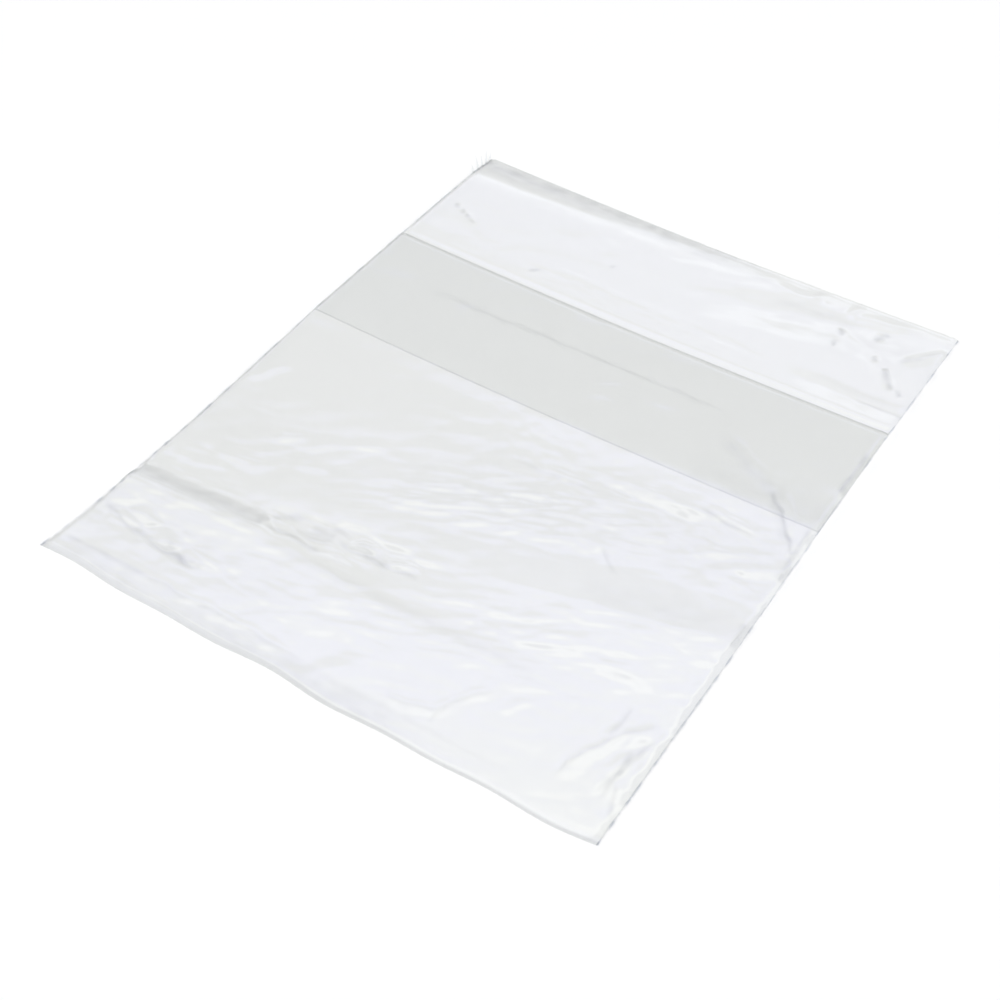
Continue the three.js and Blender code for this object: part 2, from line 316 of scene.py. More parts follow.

# Painted shade: thin dark lines along tight folds and creases, and broad faint patches of it: ends on
# the table, share of the shade colour, reach to each side
FRONT_PAINTED_SHADES = [
    dict(start=(-54, 36.9), end=(48, 37.5), share=0.22, reach=1.1, bend=0.5),
    dict(start=(-58, 37), end=(-36, 38.5), share=0.08, reach=2.4),
    dict(start=(44, 30), end=(75, 13), share=0.14, reach=3.5),
    dict(start=(66, 17.5), end=(83, -1.8), share=0.5, reach=0.9, bend=1.2),
    dict(start=(68, 15), end=(81, 1), share=0.14, reach=2.2),
    dict(start=(83.6, 46), end=(84.2, 24), share=0.5, reach=1.1),
    dict(start=(83.0, 11), end=(83.4, -13), share=0.35, reach=1.1),
    dict(start=(83.8, -28), end=(84.0, -38), share=0.4, reach=1.0),
    dict(start=(54, 1.5), end=(72, -1), share=0.3, reach=1.0),
    dict(start=(2, -9.6), end=(30, -9.2), share=0.14, reach=1.0),
    dict(start=(-96, -69.9), end=(-42, -66.1), share=0.24, reach=3.6, power=0.35, taper=0.02),
    dict(start=(-43, -68.6), end=(-41.6, -63), share=0.3, reach=1.0),
    dict(start=(-43, -67), end=(-22, -66), share=0.3, reach=1.3),
    dict(start=(-42, -63), end=(-34, -58.4), share=0.26, reach=1.7),
    dict(start=(-37, -58.4), end=(-18, -57.6), share=0.24, reach=1.3, bend=0.8),
    dict(start=(-35, -64), end=(-22, -62.2), share=0.2, reach=1.6),
    dict(start=(-31, -60.6), end=(-23, -59.6), share=0.24, reach=2.4),
    dict(start=(-23, -60), end=(-5, -60.5), share=0.24, reach=1.3, bend=-1),
    dict(start=(-17, -59), end=(-4, -61), share=0.2, reach=2.4),
    dict(start=(-9, -61.4), end=(5, -60.6), share=0.22, reach=1.2),
    dict(start=(-38, -71), end=(50, -71.5), share=0.1, reach=2.6),
    dict(start=(-82, -84), end=(-66, -88), share=0.3, reach=1.0),
    dict(start=(-72, -86.5), end=(-46, -90), share=0.26, reach=1.5),
    dict(start=(-60, -85.5), end=(-46, -91), share=0.16, reach=1.1),
    dict(start=(-64, -89.5), end=(-50, -87.5), share=0.2, reach=1.2),
    dict(start=(-55, -88), end=(-44, -89), share=0.13, reach=1.6),
    dict(start=(-84, -98.4), end=(-50, -98.4), share=0.22, reach=1.0, taper=0.1),
    dict(start=(-56, -98.4), end=(-4, -98.8), share=0.14, reach=1.0),
    dict(start=(-110, -103), end=(40, -104.5), share=0.2, reach=6.0, power=0.6),
    dict(start=(-6, -100), end=(64, -99.5), share=0.06, reach=1.2),
    dict(start=(42, -80), end=(32, -99), share=0.2, reach=0.9, bend=2),
    dict(start=(18, -96.5), end=(34, -92), share=0.14, reach=0.9, bend=-1.5),
    dict(start=(66, -97), end=(82, -67), share=0.2, reach=0.9, bend=3),
    dict(start=(71.6, -78), end=(72.5, -67), share=0.22, reach=0.9),
    dict(start=(77, -94), end=(78.5, -77), share=0.32, reach=1.1, bend=-1),
    dict(start=(79.6, -96), end=(82, -72), share=0.32, reach=1.1, bend=1.5),
    dict(start=(80.6, -88), end=(83.6, -99), share=0.2, reach=1.0),
    dict(start=(38, -24), end=(48, -33), share=0.12, reach=0.9),
    dict(start=(-30, -34), end=(120, 4), share=0.08, reach=26, taper=0.25),
    dict(start=(-120, -44), end=(10, -36), share=0.03, reach=16),
    dict(start=(36, -43), end=(110, -25), share=0.1, reach=8),
    dict(start=(40, 14), end=(110, 14), share=0.07, reach=9),
    dict(start=(-110, -82), end=(-10, -86), share=0.06, reach=18),
]
# Painted shade on the lip: dark lines along its tight folds, and broad faint patches
LIP_PAINTED_SHADES = [
    dict(start=(72.3, 80.8), end=(77.8, 72.6), share=0.55, reach=1.5, taper=0.1),
    dict(start=(64.2, 91), end=(66.6, 96.4), share=0.4, reach=1.6, taper=0.1),
    dict(start=(53.5, 91), end=(55.5, 87.5), share=0.6, reach=1.0),
    dict(start=(54.6, 84.6), end=(56, 81.6), share=0.6, reach=0.9),
    dict(start=(67, 84.5), end=(69, 81.5), share=0.6, reach=0.9),
    dict(start=(79, 74.5), end=(81, 71), share=0.6, reach=0.9),
    dict(start=(74, 85), end=(86, 99), share=0.2, reach=1.4),
    dict(start=(44, 84), end=(94, 90), share=0.08, reach=9),
    dict(start=(26, 91), end=(64, 97), share=0.14, reach=4.5, taper=0.4),
    dict(start=(-100, 103), end=(30, 104.5), share=0.42, reach=7.5, taper=0.2),
    dict(start=(-75.5, 79), end=(-73.5, 76.5), share=0.4, reach=0.9),
    dict(start=(-72.5, 77), end=(-70.5, 74.5), share=0.4, reach=0.9),
    dict(start=(-70, 75.4), end=(-67.5, 73.4), share=0.4, reach=0.9),
    dict(start=(-67.6, 73.6), end=(-65, 72.6), share=0.4, reach=0.9),
    dict(start=(70, 63.4), end=(88, 63.4), share=0.25, reach=0.9),
    dict(start=(55, 66.5), end=(88, 66.8), share=0.12, reach=2.5),
    dict(start=(-38.5, 62), end=(-35, 63.8), share=0.35, reach=1.0),
    dict(start=(-18.6, 77), end=(-17.4, 79), share=0.35, reach=0.9),
]

# Slivers torn loose at the far left corner: where each starts, its heading in degrees and its length
WISPS = [
    ((-80.4, 105.4), 118, 5.0),
    ((-80.6, 103.8), 123, 7.5),
    ((-80.9, 101.9), 127, 6.0),
    ((-81.1, 99.8), 130, 8.0),
    ((-81.3, 97.4), 133, 5.0),
]


def smooth_step(value, start, end):
    share = np.clip((value - start) / (end - start), 0, 1)
    return share * share * (3 - 2 * share)


def ramp(value, start, end):
    return np.clip((value - start) / (end - start), 0, 1)


def over_zero(value, rounding):
    """The value where it is above nothing, with a round bend instead of a corner."""
    return (value + np.sqrt(value ** 2 + rounding ** 2)) / 2


class Place:
    """Points of the web: where they are on the web and where they lie on the table."""

    def __init__(self, across, along):
        self.across = across
        self.along = along
        near_left = np.exp(-along / NEAR_CORNER_RUN) * np.exp(-across / NEAR_CORNER_SPAN)
        left = LEFT_DRAW * along / BAG_LENGTH - NEAR_CORNER * near_left
        self.x = left + across * (1 - left / BAG_WIDTH) - BAG_WIDTH / 2
        off_middle = 2 * across / BAG_WIDTH - 1
        waves = np.sin(across / EDGE_WAVE_LONG) + np.sin(across / EDGE_WAVE_SHORT)
        edge_wave = EDGE_WAVE * waves * np.exp(-along / EDGE_WAVE_RUN)
        from_dip = (across - BOTTOM_DIP_ACROSS) / BOTTOM_DIP_SPAN
        dip = BOTTOM_DIP * np.exp(-from_dip ** 2 - along / BOTTOM_DIP_RUN)
        bow = BOTTOM_BOW * np.minimum(off_middle, 0) ** 2 * (1 - along / BAG_LENGTH)
        behind = bow + edge_wave - dip
        corner = CORNER_REACH * np.minimum(off_middle, 0)
        drawn_in = (TOP_BOW * (1 - off_middle ** 2) + corner) * along / BAG_LENGTH
        self.y = along + behind - drawn_in - BAG_LENGTH / 2
        self.from_side = np.minimum(across, BAG_WIDTH - across)
        self.from_top = BAG_LENGTH - along


def crease(place, start, end, height, width, far_width, bend=0.0, power=1.0, taper=0.3, soft=False):
    """Height of one crease from start to end, bowed sideways by bend, with its own reach on each side."""
    span = math.dist(start, end)
    dir_x = (end[0] - start[0]) / span
    dir_y = (end[1] - start[1]) / span
    from_x = place.x - start[0]
    from_y = place.y - start[1]
    run = (from_x * dir_x + from_y * dir_y) / span
    side = from_y * dir_x - from_x * dir_y
    if dir_x < 0:
        side = -side
    side = side - bend * 4 * run * (1 - run)
    reach = np.where(side > 0, far_width, width)
    profile = np.clip(1 - np.abs(side) / reach, 0, 1) ** power
    if soft:
        profile = smooth_step(profile, 0, 1)
    ends = smooth_step(run, 0, taper) * smooth_step(1 - run, 0, taper)
    return height * profile * ends


def field(place, middle, spread, slant, size, stretch, height, sharp=False):
    """Fine crinkles strewn over one patch, in waves or facets drawn out along the slant."""
    turn = math.radians(slant)
    off_x = place.x - middle[0]
    off_y = place.y - middle[1]
    along = (off_x * math.cos(turn) + off_y * math.sin(turn)) / spread[0]
    across = (off_y * math.cos(turn) - off_x * math.sin(turn)) / spread[1]
    cover = np.exp(-along ** 2 - across ** 2)
    basis = "VORONOI_F2F1" if sharp else "PERLIN_ORIGINAL"
    waves = ripple(place, size, stretch, slant, middle[0] + SEED_MIX * middle[1], basis)
    shape = waves if sharp else 1 - 2 * np.abs(waves)
    return height * cover * shape


def wandering(place):
    """The same points, shifted a little to and fro, so that straight creases come out uneven."""
    shift_x = WANDER * ripple(place, size=WANDER_SIZE, stretch=1, slant=0, seed=6.5)
    shift_y = WANDER * ripple(place, size=WANDER_SIZE, stretch=1, slant=0, seed=7.5)
    return SimpleNamespace(x=place.x + shift_x, y=place.y + shift_y)


def relief(place, creases, fields):
    total = np.zeros_like(place.x)
    uneven = wandering(place)
    for item in creases:
        total += crease(uneven, **item)
    for item in fields:
        total += field(place, **item)
    return total


def ripple(place, size, stretch, slant, seed, basis="PERLIN_ORIGINAL"):
    """Noise from about -1 to 1, in waves of that size drawn out along the slant."""
    turn = math.radians(slant)
    u = (place.x * math.cos(turn) + place.y * math.sin(turn)) / (size * stretch)
    v = (place.y * math.cos(turn) - place.x * math.sin(turn)) / size
    spots = zip(u.ravel(), v.ravel())
    values = [noise.noise(Vector((a, b, seed)), noise_basis=basis) for a, b in spots]
    return np.array(values).reshape(u.shape)


def weld_puckers(place):
    """Small waves along both welds, where the melted bead has drawn the film in."""
    waves = ripple(place, size=4, stretch=3, slant=0, seed=4.5)
    beside_weld = np.exp(-place.from_side / PUCKER_REACH)
    off_weld = smooth_step(place.from_side, 0, PUCKER_RUN)
    return PUCKER_HEIGHT * (waves + PUCKER_LIFT) * beside_weld * off_weld


def flap_height(place):
    """Height of the layer next to the table, level under the three layers and sloping to both ends."""
    slope_end = np.interp(place.x, *SLOPE_END)
    flap_edge = FLAP_EDGE - BAG_LENGTH / 2
    body = MOUTH_RISE * over_zero(place.y - slope_end, SLOPE_ROUNDING) / (flap_edge - slope_end)
    roll_width = np.interp(place.x, *ROLL_WIDTH)
    lip_slope = (MOUTH_RISE - ROLL_SLOPE * roll_width) / (LIP_HEIGHT - roll_width)
    roll = roll_width - over_zero(roll_width - place.from_top, ROLL_ROUNDING)
    lip = lip_slope * place.from_top + (ROLL_SLOPE - lip_slope) * roll
    return np.clip(np.minimum(body, lip), 0, MOUTH_RISE)


def bottom_pillow(place):
    """Air held above the bottom fold, ending at a step that is steep on the left and soft on the right."""
    step_y = np.interp(place.x, *STEP_LINE)
    height = np.interp(place.x, *PILLOW_HEIGHT)
    wall = 1 - ramp(place.y, step_y - STEP_WALL / 2, step_y + STEP_WALL / 2)
    fullness = PILLOW_START + (1 - PILLOW_START) * ramp(place.along, 0, PILLOW_RUN)
    return height * wall * fullness * ramp(place.along, 0, BOTTOM_RUN)


def back_height(place):
    on_flap = ramp(place.along, FLAP_EDGE - FLAP_RUN, FLAP_EDGE)
    off_fold = smooth_step(place.from_top, 0, EDGE_RUN)
    sides = smooth_step(place.from_side, 0, SIDE_RUN)
    beyond_mouth = smooth_step(place.along, POCKET_DEPTH, POCKET_DEPTH + LIP_RUN)
    crinkles = relief(place, LIP_CREASES, LIP_FIELDS) * off_fold
    lift = (SLACK + crinkles) * beyond_mouth + BACK_PILLOW * bottom_pillow(place)
    return flap_height(place) + LAYER_GAP * on_flap + np.maximum(lift, 0) * sides


def calm(place):
    """Share of the overall crinkles that is left, less where the photograph shows smoother film."""
    strip = smooth_step(place.along, FLAP_EDGE + STRIP_FADE[0], FLAP_EDGE + STRIP_FADE[1])
    near_right = smooth_step(place.y, *NEAR_RIGHT_Y) * smooth_step(place.x, *NEAR_RIGHT_X)
    left_body = smooth_step(place.x, *LEFT_BODY_X) * smooth_step(place.y, *LEFT_BODY_Y)
    share = 1 - STRIP_CALM * strip - NEAR_RIGHT_CALM * near_right
    share = share - LEFT_BODY_CALM * left_body * (1 - strip)
    return share * (1 - crease(place, **SMOOTH_BAND))


def front_height(place):
    sides = smooth_step(place.from_side, 0, SIDE_RUN)
    off_mouth = smooth_step(POCKET_DEPTH - place.along, 0, EDGE_RUN)
    off_fold = smooth_step(place.along, 0, EDGE_RUN)
    overall = sum(height * ripple(place, **waves) for height, waves in FRONT_CRINKLES)
    crinkles = relief(place, FRONT_CREASES, FRONT_FIELDS) + overall * calm(place)
    slack = SLACK * (FOLD_SLACK + (1 - FOLD_SLACK) * ramp(place.along, 0, SLACK_RUN))
    lift = slack + crinkles * off_mouth * off_fold + FRONT_PILLOW * bottom_pillow(place)
    pressed = ramp(POCKET_DEPTH - place.along, *PRESSED_RUN)
    front = (LAYER_GAP + np.maximum(lift, 0) * sides) * pressed
    return back_height(place) + front + weld_puckers(place) * off_fold


def painted_shade(place, start, end, share, reach, bend=0.0, power=1.0, taper=0.2):
    """Share of painted shade along one tight fold or broad patch, with the same reach on both sides."""
    return crease(place, start, end, share, reach, reach, bend, power, taper)


def total_painted_shade(place, shades):
    """Share of painted shade at each point, along folds that are too tight to show as relief and in broad
    patches.
    """
    total = np.zeros_like(place.x)
    uneven = wandering(place)
    for item in shades:
        total += painted_shade(uneven, **item)
    mottle = 1 + SHADE_MOTTLE * ripple(place, size=2.2, stretch=1.6, slant=12, seed=9.5)
    return np.clip(total * mottle, 0, 1)


def front_painted_shade(place):
    # Painted shade: a dark line along the mouth's cut edge and along the bottom fold
    mouth_edge_shade = MOUTH_EDGE_SHADE * ramp(place.along, POCKET_DEPTH - STRIP_STEP, POCKET_DEPTH)
    fold_line_shade = FOLD_EDGE_SHADE * (place.along < BODY_STEP)
    return np.maximum(total_painted_shade(place, FRONT_PAINTED_SHADES), mouth_edge_shade + fold_line_shade)


def back_painted_shade(place):
    # Painted shade on the lip, beyond the mouth
    return total_painted_shade(place, LIP_PAINTED_SHADES) * (place.along > POCKET_DEPTH + LIP_STEP)


def flap_painted_shade(place):
    # Painted shade: a dark line along the flap's cut edge
    return FLAP_EDGE_SHADE * (place.along < FLAP_EDGE + 1.5 * CUT_EDGE)


def panel(height_of, shade_of, along_lines):
    """Points of one panel in millimetres and their shares of painted shade, one row for each line along."""
    columns = round(BAG_WIDTH / COLUMN_STEP)
    place = Place(*np.meshgrid(np.linspace(0, BAG_WIDTH, columns + 1), along_lines))
    return np.stack((place.x, place.y, height_of(place)), axis=-1), shade_of(place)


def lines(start, end, step):
    return np.linspace(start, end, round(abs(end - start) / step) + 1)


def fold_turn(before, after, outward):
    """Rows that carry the film round from one layer to the next in a half circle."""
    middle = (before + after) / 2
    radius = (before[:, 2] - after[:, 2]) / 2
    rows = []
    for angle in np.linspace(0, math.pi, FOLD_ROWS + 2)[1:-1]:
        row = middle.copy()
        row[:, 1] += outward * np.abs(radius) * math.sin(angle)
        row[:, 2] += radius * math.cos(angle)
        rows.append(row)
    return np.array(rows)


def grid_mesh(name, points, web_lengths):
    """A mesh of square cells from rows of points, with its flat web as the texture map."""
    rows, columns, _ = points.shape
    numbers = np.arange(rows * columns).reshape(rows, columns)
    corners = (numbers[:-1, :-1], numbers[:-1, 1:], numbers[1:, 1:], numbers[1:, :-1])
    faces = np.stack(corners, axis=-1).reshape(-1, 4)
    mesh = bpy.data.meshes.new(name)
    mesh.from_pydata((points.reshape(-1, 3) * MM).tolist(), [], faces.tolist())
    mesh.update()
    flat_u = np.broadcast_to(np.linspace(0, BAG_WIDTH, columns), (rows, columns)) / WEB_LENGTH
    flat_v = np.broadcast_to(web_lengths[:, None], (rows, columns)) / WEB_LENGTH
    flat = np.stack((flat_u, flat_v), axis=-1).reshape(-1, 2)
    uv_map = mesh.uv_layers.new(name="web")
    uv_map.data.foreach_set("uv", flat[faces.ravel()].ravel().astype(np.float32))
    mesh.polygons.foreach_set("use_smooth", np.ones(len(faces), bool))
    on_flap = flat_v[:-1, :-1] * WEB_LENGTH >= POCKET_DEPTH + BAG_LENGTH
    mesh.polygons.foreach_set("material_index", on_flap.ravel().astype(np.int32))
    return mesh


def new_object(name, mesh):
    thing = bpy.data.objects.new(name, mesh)
    bpy.context.scene.collection.objects.link(thing)
    return thing


def build_film():
    strip_lines = lines(POCKET_DEPTH, FLAP_EDGE, STRIP_STEP)[:-1]
    front_lines = np.concatenate((strip_lines, lines(FLAP_EDGE, 0, BODY_STEP)))
    pocket_lines = lines(0, POCKET_DEPTH, BACK_STEP)[:-1]
    back_lines = np.concatenate((pocket_lines, lines(POCKET_DEPTH, BAG_LENGTH, LIP_STEP)))
    edge_lines = (FLAP_EDGE + CUT_EDGE, FLAP_EDGE)
    flap_lines = np.concatenate((lines(BAG_LENGTH, FLAP_EDGE + 2 * CUT_EDGE, FLAP_STEP), edge_lines))
    front, front_shades = panel(front_height, front_painted_shade, front_lines)
    back, back_shades = panel(back_height, back_painted_shade, back_lines)
    flap, flap_shades = panel(flap_height, flap_painted_shade, flap_lines)
    bottom_fold = fold_turn(front[-1], back[0], outward=-1)
    top_fold = fold_turn(back[-1], flap[0], outward=1)
    # No painted shade on the top fold's turn, and a painted dark line along the bottom fold's turn
    plain_fold = np.zeros(top_fold.shape[:2])
    shaded_fold = np.full(bottom_fold.shape[:2], FOLD_EDGE_SHADE)
    points = np.concatenate((front, bottom_fold, back, top_fold, flap))
    shades = np.concatenate((front_shades, shaded_fold, back_shades, plain_fold, flap_shades))
    steps = np.linalg.norm(np.diff(points, axis=0), axis=2).mean(axis=1)
    lengths = np.concatenate(((0,), np.cumsum(steps)))
    mesh = grid_mesh("folded_film", points, lengths * WEB_LENGTH / lengths[-1])
    # Share of painted shade at each point, read by the film's material
    shares = mesh.attributes.new("painted_shade", "FLOAT", "POINT")
    shares.data.foreach_set("value", shades.ravel().astype(np.float32))
    return new_object("folded_film", mesh)


def tube(rings):
    """Vertices and faces of one closed tube through rings of points that are alike in number."""
    count = len(rings[0])
    faces = []
    for ring in range(len(rings) - 1):
        for side in range(count):
            a = ring * count + side
            b = ring * count + (side + 1) % count
            faces.append((a, b, b + count, a + count))
    faces.append(tuple(reversed(range(count))))
    faces.append(tuple((len(rings) - 1) * count + side for side in range(count)))
    return np.concatenate(rings), faces


def oval(x, y, z, half_width, half_height, turn=0.0):
    """One ring of a bead or wisp, upright, its width turned from the x axis."""
    angles = np.linspace(0, 2 * math.pi, RING_POINTS, endpoint=False)
    out = half_width * np.cos(angles)
    up = half_height * np.sin(angles)
    return np.stack((x + out * math.cos(turn), y + out * math.sin(turn), z + up), axis=-1)


def bead(across):
    """The melted bead, uneven in width, along one edge where the layers are joined."""
    along = lines(0, BAG_LENGTH, BEAD_STEP)
    place = Place(np.full_like(along, across), along)
    top = np.where(along <= POCKET_DEPTH, front_height(place), back_height(place))
    middle = (top + flap_height(place)) / 2
    swell = 1 + BEAD_SWELL * ripple(place, size=3, stretch=1, slant=0, seed=8.5 + across)
    middle = np.maximum(middle, WELD_HALF_HEIGHT * swell)
    rings = zip(place.x, place.y, middle, swell)
    return tube([oval(x, y, z, WELD_HALF_WIDTH * s, WELD_HALF_HEIGHT * s) for x, y, z, s in rings])


def wisp(root, heading, length):
    """A torn sliver of film that tapers to a point."""
    turn = math.radians(heading)
    rings = []
    for share in np.linspace(0, WISP_END, WISP_RINGS):
        x = root[0] + length * share * math.cos(turn)
        y = root[1] + length * share * math.sin(turn)
        half_width = WISP_HALF_WIDTH * (1 - share)
        rings.append(oval(x, y, WISP_HEIGHT, half_width, WISP_HALF_HEIGHT, turn + math.pi / 2))
    return tube(rings)


def build_welds():
    """The two beads, with the slivers torn loose at the far left corner."""
    beads = [bead(0.0), bead(BAG_WIDTH)]
    wisps = [wisp(root, heading, length) for root, heading, length in WISPS]
    vertices = []
    faces = []
    for points, cells in beads + wisps:
        start = len(vertices)
        vertices += (points * MM).tolist()
        faces += [tuple(start + corner for corner in cell) for cell in cells]
    bead_faces = sum(len(cells) for _, cells in beads)
    mesh = bpy.data.meshes.new("weld_beads")
    mesh.from_pydata(vertices, [], faces)
    mesh.polygons.foreach_set("material_index", (np.arange(len(faces)) >= bead_faces).astype(np.int32))
    mesh.polygons.foreach_set("use_smooth", np.ones(len(faces), bool))
    mesh.update()
    return new_object("weld_beads", mesh)


class Nodes:
    """Short way to add and link the nodes of one material or world."""

    def __init__(self, owner):
        self.owner = owner
        owner.use_nodes = True
        self.tree = owner.node_tree
        self.tree.nodes.clear()
        kind = "World" if isinstance(owner, bpy.types.World) else "Material"
        self.output = self.tree.nodes.new("ShaderNodeOutput" + kind)

    def add(self, kind, operation=None, **inputs):
        """A node of that kind, with inputs by name, _ for each space, or by number, as in _0."""
        node = self.tree.nodes.new("ShaderNode" + kind)
        if operation:
            node.operation = operation
        for key, value in inputs.items():
            socket = node.inputs[int(key[1:])] if key[0] == "_" else node.inputs[key.replace("_", " ")]
            if isinstance(value, bpy.types.NodeSocket):
                self.tree.links.new(value, socket)
            else:
                socket.default_value = value
        return node

    def surface(self, socket):
        self.tree.links.new(socket, self.output.inputs["Surface"])
        return self.owner


def film_shader(nodes, roughness, mirror, tint):
    """Thin clear film: each layer mirrors a little, more at a slant, and lets the rest through."""
    slant = nodes.add("LayerWeight", Blend=0.5).outputs["Facing"]
    fifth = nodes.add("Math", "POWER", _0=slant, _1=5.0).outputs[0]
    one_face = nodes.add("Math", "MULTIPLY_ADD", _0=fifth, _1=1 - FACE_MIRROR, _2=FACE_MIRROR).outputs[0]
    twice = nodes.add("Math", "MULTIPLY", _0=one_face, _1=2.0 * mirror).outputs[0]
    below = nodes.add("Math", "ADD", _0=one_face, _1=1.0).outputs[0]
    mirrored = nodes.add("Math", "DIVIDE", _0=twice, _1=below).outputs[0]
    through = nodes.add("BsdfTransparent", Color=tint)
    gloss = nodes.add("BsdfAnisotropic", Color=(1, 1, 1, 1), Roughness=roughness)
    return nodes.add("MixShader", Fac=mirrored, _1=through.outputs[0], _2=gloss.outputs[0]).outputs[0]


def film_material(name, tint, roughness, mirror):
    """Clear film with uneven milky scuffs, darkened by painted shade along tight folds, at cut edges and in
    broad patches.
    """
    nodes = Nodes(bpy.data.materials.new(name))
    shade_share = nodes.add("Attribute")
    shade_share.attribute_name = "painted_shade"
    # Painted shade: the film's tint is mixed towards a dark colour by the shade share at each point
    colour = nodes.add("MixRGB", Fac=shade_share.outputs["Fac"], Color1=(*tint, 1), Color2=(*PAINTED_SHADE_TINT, 1))
    clear = film_shader(nodes, roughness, mirror, colour.outputs[0])
    web = nodes.add("UVMap")
    web.uv_map = "web"
    scuffs = nodes.add("TexNoise", Vector=web.outputs[0], Scale=SCUFF_SCALE, Detail=1.0)
    haze = nodes.add("Math", "MULTIPLY", _0=scuffs.outputs[0], _1=SCUFF_HAZE)
    milky = nodes.add("BsdfTranslucent", Color=(*SCUFF_COLOUR, 1))
    hazy = nodes.add("MixShader", Fac=haze.outputs[0], _1=clear, _2=milky.outputs[0])
    return nodes.surface(hazy.outputs[0])


def melted_material():
    """The beads' film, run together in darker and clearer lumps."""
    nodes = Nodes(bpy.data.materials.new("melted_film"))
    place = nodes.add("TexCoord").outputs["Object"]
    lumps = nodes.add("TexNoise", Vector=place, Scale=LUMP_SCALE, Detail=1.0)
    share = nodes.add("MapRange", _0=lumps.outputs[0], _1=LUMP_RANGE[0], _2=LUMP_RANGE[1])
    clear = (*CLEAR_BEAD_TINT, 1)
    colour = nodes.add("MixRGB", Fac=share.outputs[0], Color1=clear, Color2=(*BEAD_TINT, 1))
    return nodes.surface(film_shader(nodes, BEAD_ROUGHNESS, BEAD_MIRROR, colour.outputs[0]))


def floor_material():
    """White paint that glows a little where it is seen, more so far away, as a pale backdrop does."""
    nodes = Nodes(bpy.data.materials.new("white_table"))
    paint = nodes.add("BsdfDiffuse", Color=(*PAINT, 1), Roughness=0.5)
    ray_is = nodes.add("LightPath").outputs
    seen = nodes.add("Math", "ADD", _0=ray_is["Is Camera Ray"], _1=ray_is["Is Glossy Ray"])
    any_seen = nodes.add("Math", "ADD", _0=seen.outputs[0], _1=ray_is["Is Transmission Ray"])
    away = nodes.add("VectorMath", "LENGTH", _0=nodes.add("TexCoord").outputs["Object"]).outputs["Value"]
    near, far = GLOW_RANGE
    level = nodes.add("MapRange", _0=away, _1=near, _2=far, _3=TABLE_GLOW, _4=FAR_GLOW)
    strength = nodes.add("Math", "MULTIPLY", _0=any_seen.outputs[0], _1=level.outputs[0])
    glow = nodes.add("Emission", Color=(1, 1, 1, 1), Strength=strength.outputs[0])
    both = nodes.add("AddShader", _0=paint.outputs[0], _1=glow.outputs[0])
    return nodes.surface(both.outputs[0])


def build_floor():
    size = TABLE_HALF_SIZE
    below = -TABLE_DROP
    corners = [(-size, -size, below), (size, -size, below), (size, size, below), (-size, size, below)]
    mesh = bpy.data.meshes.new("table")
    mesh.from_pydata(corners, [], [(0, 1, 2, 3)])
    mesh.materials.append(floor_material())
    table = new_object("table", mesh)


def forward():
    """Level direction of the camera's view."""
    return Vector((-math.sin(CAMERA_AZIMUTH), math.cos(CAMERA_AZIMUTH), 0))


def camera_place():
    level = forward() * math.cos(CAMERA_ELEVATION)
    return CAMERA_TARGET + (Vector((0, 0, math.sin(CAMERA_ELEVATION))) - level) * CAMERA_DISTANCE


def build_camera():
    place = camera_place()
    turn = (place - CAMERA_TARGET).to_track_quat("Z", "Y").to_matrix().to_4x4()
    data = bpy.data.cameras.new("camera")
    data.lens = CAMERA_LENS
    data.sensor_width = SENSOR_WIDTH
    data.clip_start = 0.01
    camera = bpy.data.objects.new("camera", data)
    camera.matrix_world = Matrix.Translation(place) @ turn @ Matrix.Rotation(CAMERA_ROLL, 4, "Z")
    bpy.context.scene.collection.objects.link(camera)
    bpy.context.scene.camera = camera


def area_lamp(name, size, brightness, colour):
    """A rectangular lamp, not seen by the camera, that looks that bright in a mirror."""
    width, height = size
    data = bpy.data.lights.new(name, "AREA")
    data.shape = "RECTANGLE"
    data.size = width
    data.size_y = height
    data.energy = brightness * math.pi * width * height
    data.color = colour
    lamp = bpy.data.objects.new(name, data)
    lamp.visible_camera = False
    bpy.context.scene.collection.objects.link(lamp)
    return lamp


def soft_box(name, turn, elevation, distance, size, brightness, colour):
    """A lamp that lights the table, at that turn from the view's direction and that height angle."""
    level = Matrix.Rotation(math.radians(turn), 3, "Z") @ forward()
    rise = math.radians(elevation)
    away = level * math.cos(rise) + Vector((0, 0, math.sin(rise)))
    lamp = area_lamp(name, size, brightness, colour)
    lamp.location = CAMERA_TARGET + away * distance
    lamp.rotation_euler = away.to_track_quat("Z", "Y").to_euler()
    lamp.visible_glossy = False


def mirrored(point):
    """Place in the room that the camera sees mirrored in flat film at that point of the bag."""
    eye = camera_place()
    eye.z = -eye.z
    ray = Vector((point[0] * MM, point[1] * MM, 0)) - eye
    return eye + ray.normalized() * (ray.length + PANEL_DISTANCE)


def mirror_panel(name, edge, low, high, brightness, colour):
    """A panel that only the film's gloss shows, from low to high above an edge given by two bag points."""
    left = mirrored(edge[0])
    right = mirrored(edge[1])
    across = (right - left).normalized()
    middle = (left + right) / 2
    up = (middle - CAMERA_TARGET).cross(across).normalized()
    if up.z < 0:
        up.negate()
    lamp = area_lamp(name, (PANEL_LENGTH, high - low), brightness, colour)
    axes = Matrix((across, up, across.cross(up))).transposed().to_4x4()
    if (middle - CAMERA_TARGET).dot(across.cross(up)) < 0:
        axes = Matrix((-across, up, up.cross(across))).transposed().to_4x4()
    lamp.matrix_world = Matrix.Translation(middle + up * (low + high) / 2) @ axes
    lamp.visible_diffuse = False


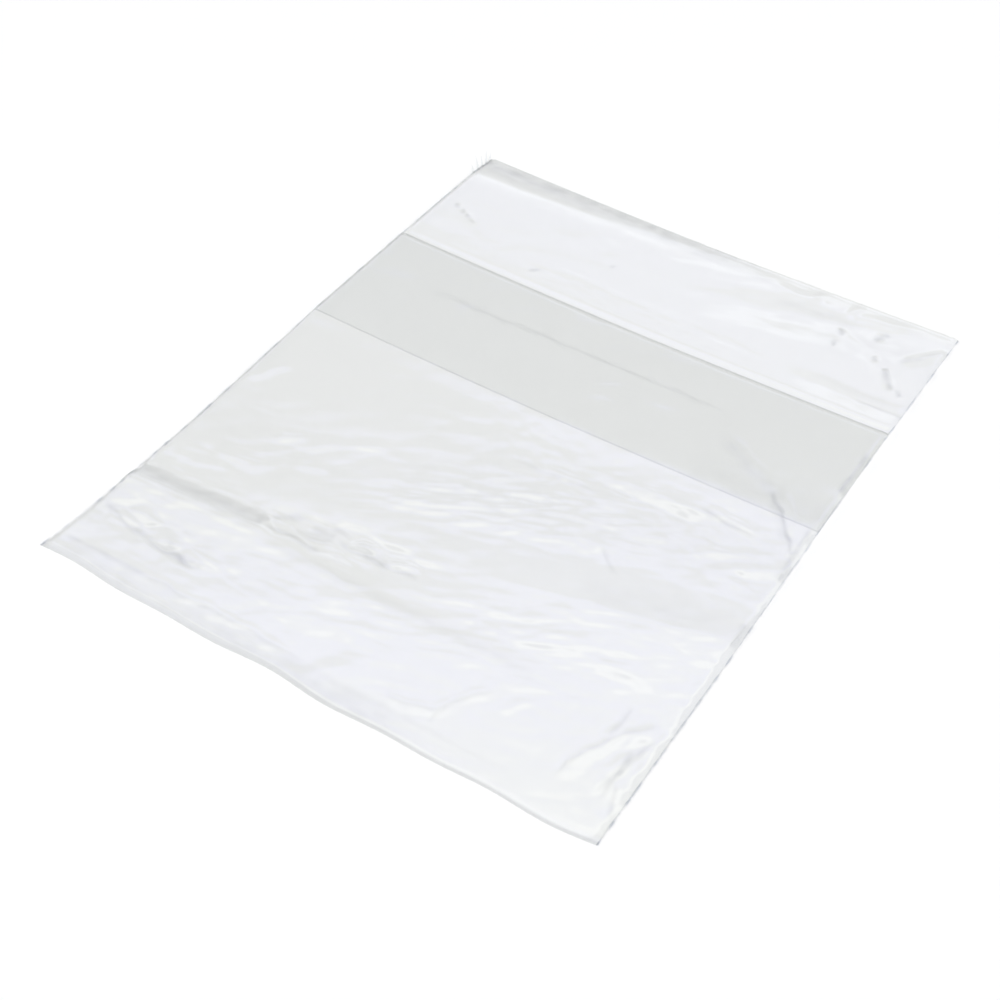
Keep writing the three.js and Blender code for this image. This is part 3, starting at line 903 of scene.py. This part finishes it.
def build_room():
    """Dim world light, with pale walls beside and behind the viewer for gloss and a pale backdrop."""
    nodes = Nodes(bpy.data.worlds.new("room"))
    ray_is = nodes.add("LightPath").outputs
    towards = nodes.add("TexCoord").outputs["Generated"]
    ahead = nodes.add("VectorMath", "DOT_PRODUCT", _0=towards, _1=forward()).outputs["Value"]
    start, end = WALL_FADE
    full = WALL_LEVEL - ROOM_LEVEL
    walls = nodes.add("MapRange", _0=ahead, _1=start, _2=end, _3=0.0, _4=full).outputs[0]
    up = nodes.add("SeparateXYZ", Vector=towards).outputs["Z"]
    low, high = WALL_RISE
    rise = nodes.add("MapRange", _0=up, _1=low, _2=high, _3=LOW_WALL_SHARE, _4=1.0).outputs[0]
    lit = nodes.add("Math", "MULTIPLY", _0=walls, _1=rise).outputs[0]
    gloss = nodes.add("Math", "MULTIPLY_ADD", _0=ray_is["Is Glossy Ray"], _1=lit, _2=ROOM_LEVEL)
    level = nodes.add("Math", "ADD", _0=gloss.outputs[0], _1=ray_is["Is Camera Ray"])
    light = nodes.add("Background", Color=(*ROOM_COLOUR, 1), Strength=level.outputs[0])
    bpy.context.scene.world = nodes.surface(light.outputs[0])


def build_lights():
    for panel_values in MIRROR_PANELS:
        mirror_panel(*panel_values)
    size = (BOX_SIZE, BOX_SIZE)
    soft_box("left_box", BOX_TURN, BOX_ELEVATION, BOX_DISTANCE, size, KEY_LEVEL, WHITE)
    soft_box("right_box", -BOX_TURN, BOX_ELEVATION, BOX_DISTANCE, size, KEY_LEVEL, WHITE)


bpy.context.scene.view_settings.view_transform = "Standard"
build_camera()
build_floor()
build_room()
build_lights()
film = build_film()
# The body's film carries milky scuffs and painted shade
film.data.materials.append(film_material("scuffed_and_shaded_film", BODY_TINT_AND_SHADE, FILM_ROUGHNESS, mirror=1.0))
film.data.materials.append(film_material("clear_film", FLAP_TINT, FILM_ROUGHNESS, FLAP_MIRROR))
film.visible_shadow = False
film.visible_diffuse = False
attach(film, "root")
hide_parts("bag_film")
welds = build_welds()
welds.data.materials.append(melted_material())
welds.data.materials.append(film.data.materials["clear_film"])
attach(welds, "root")
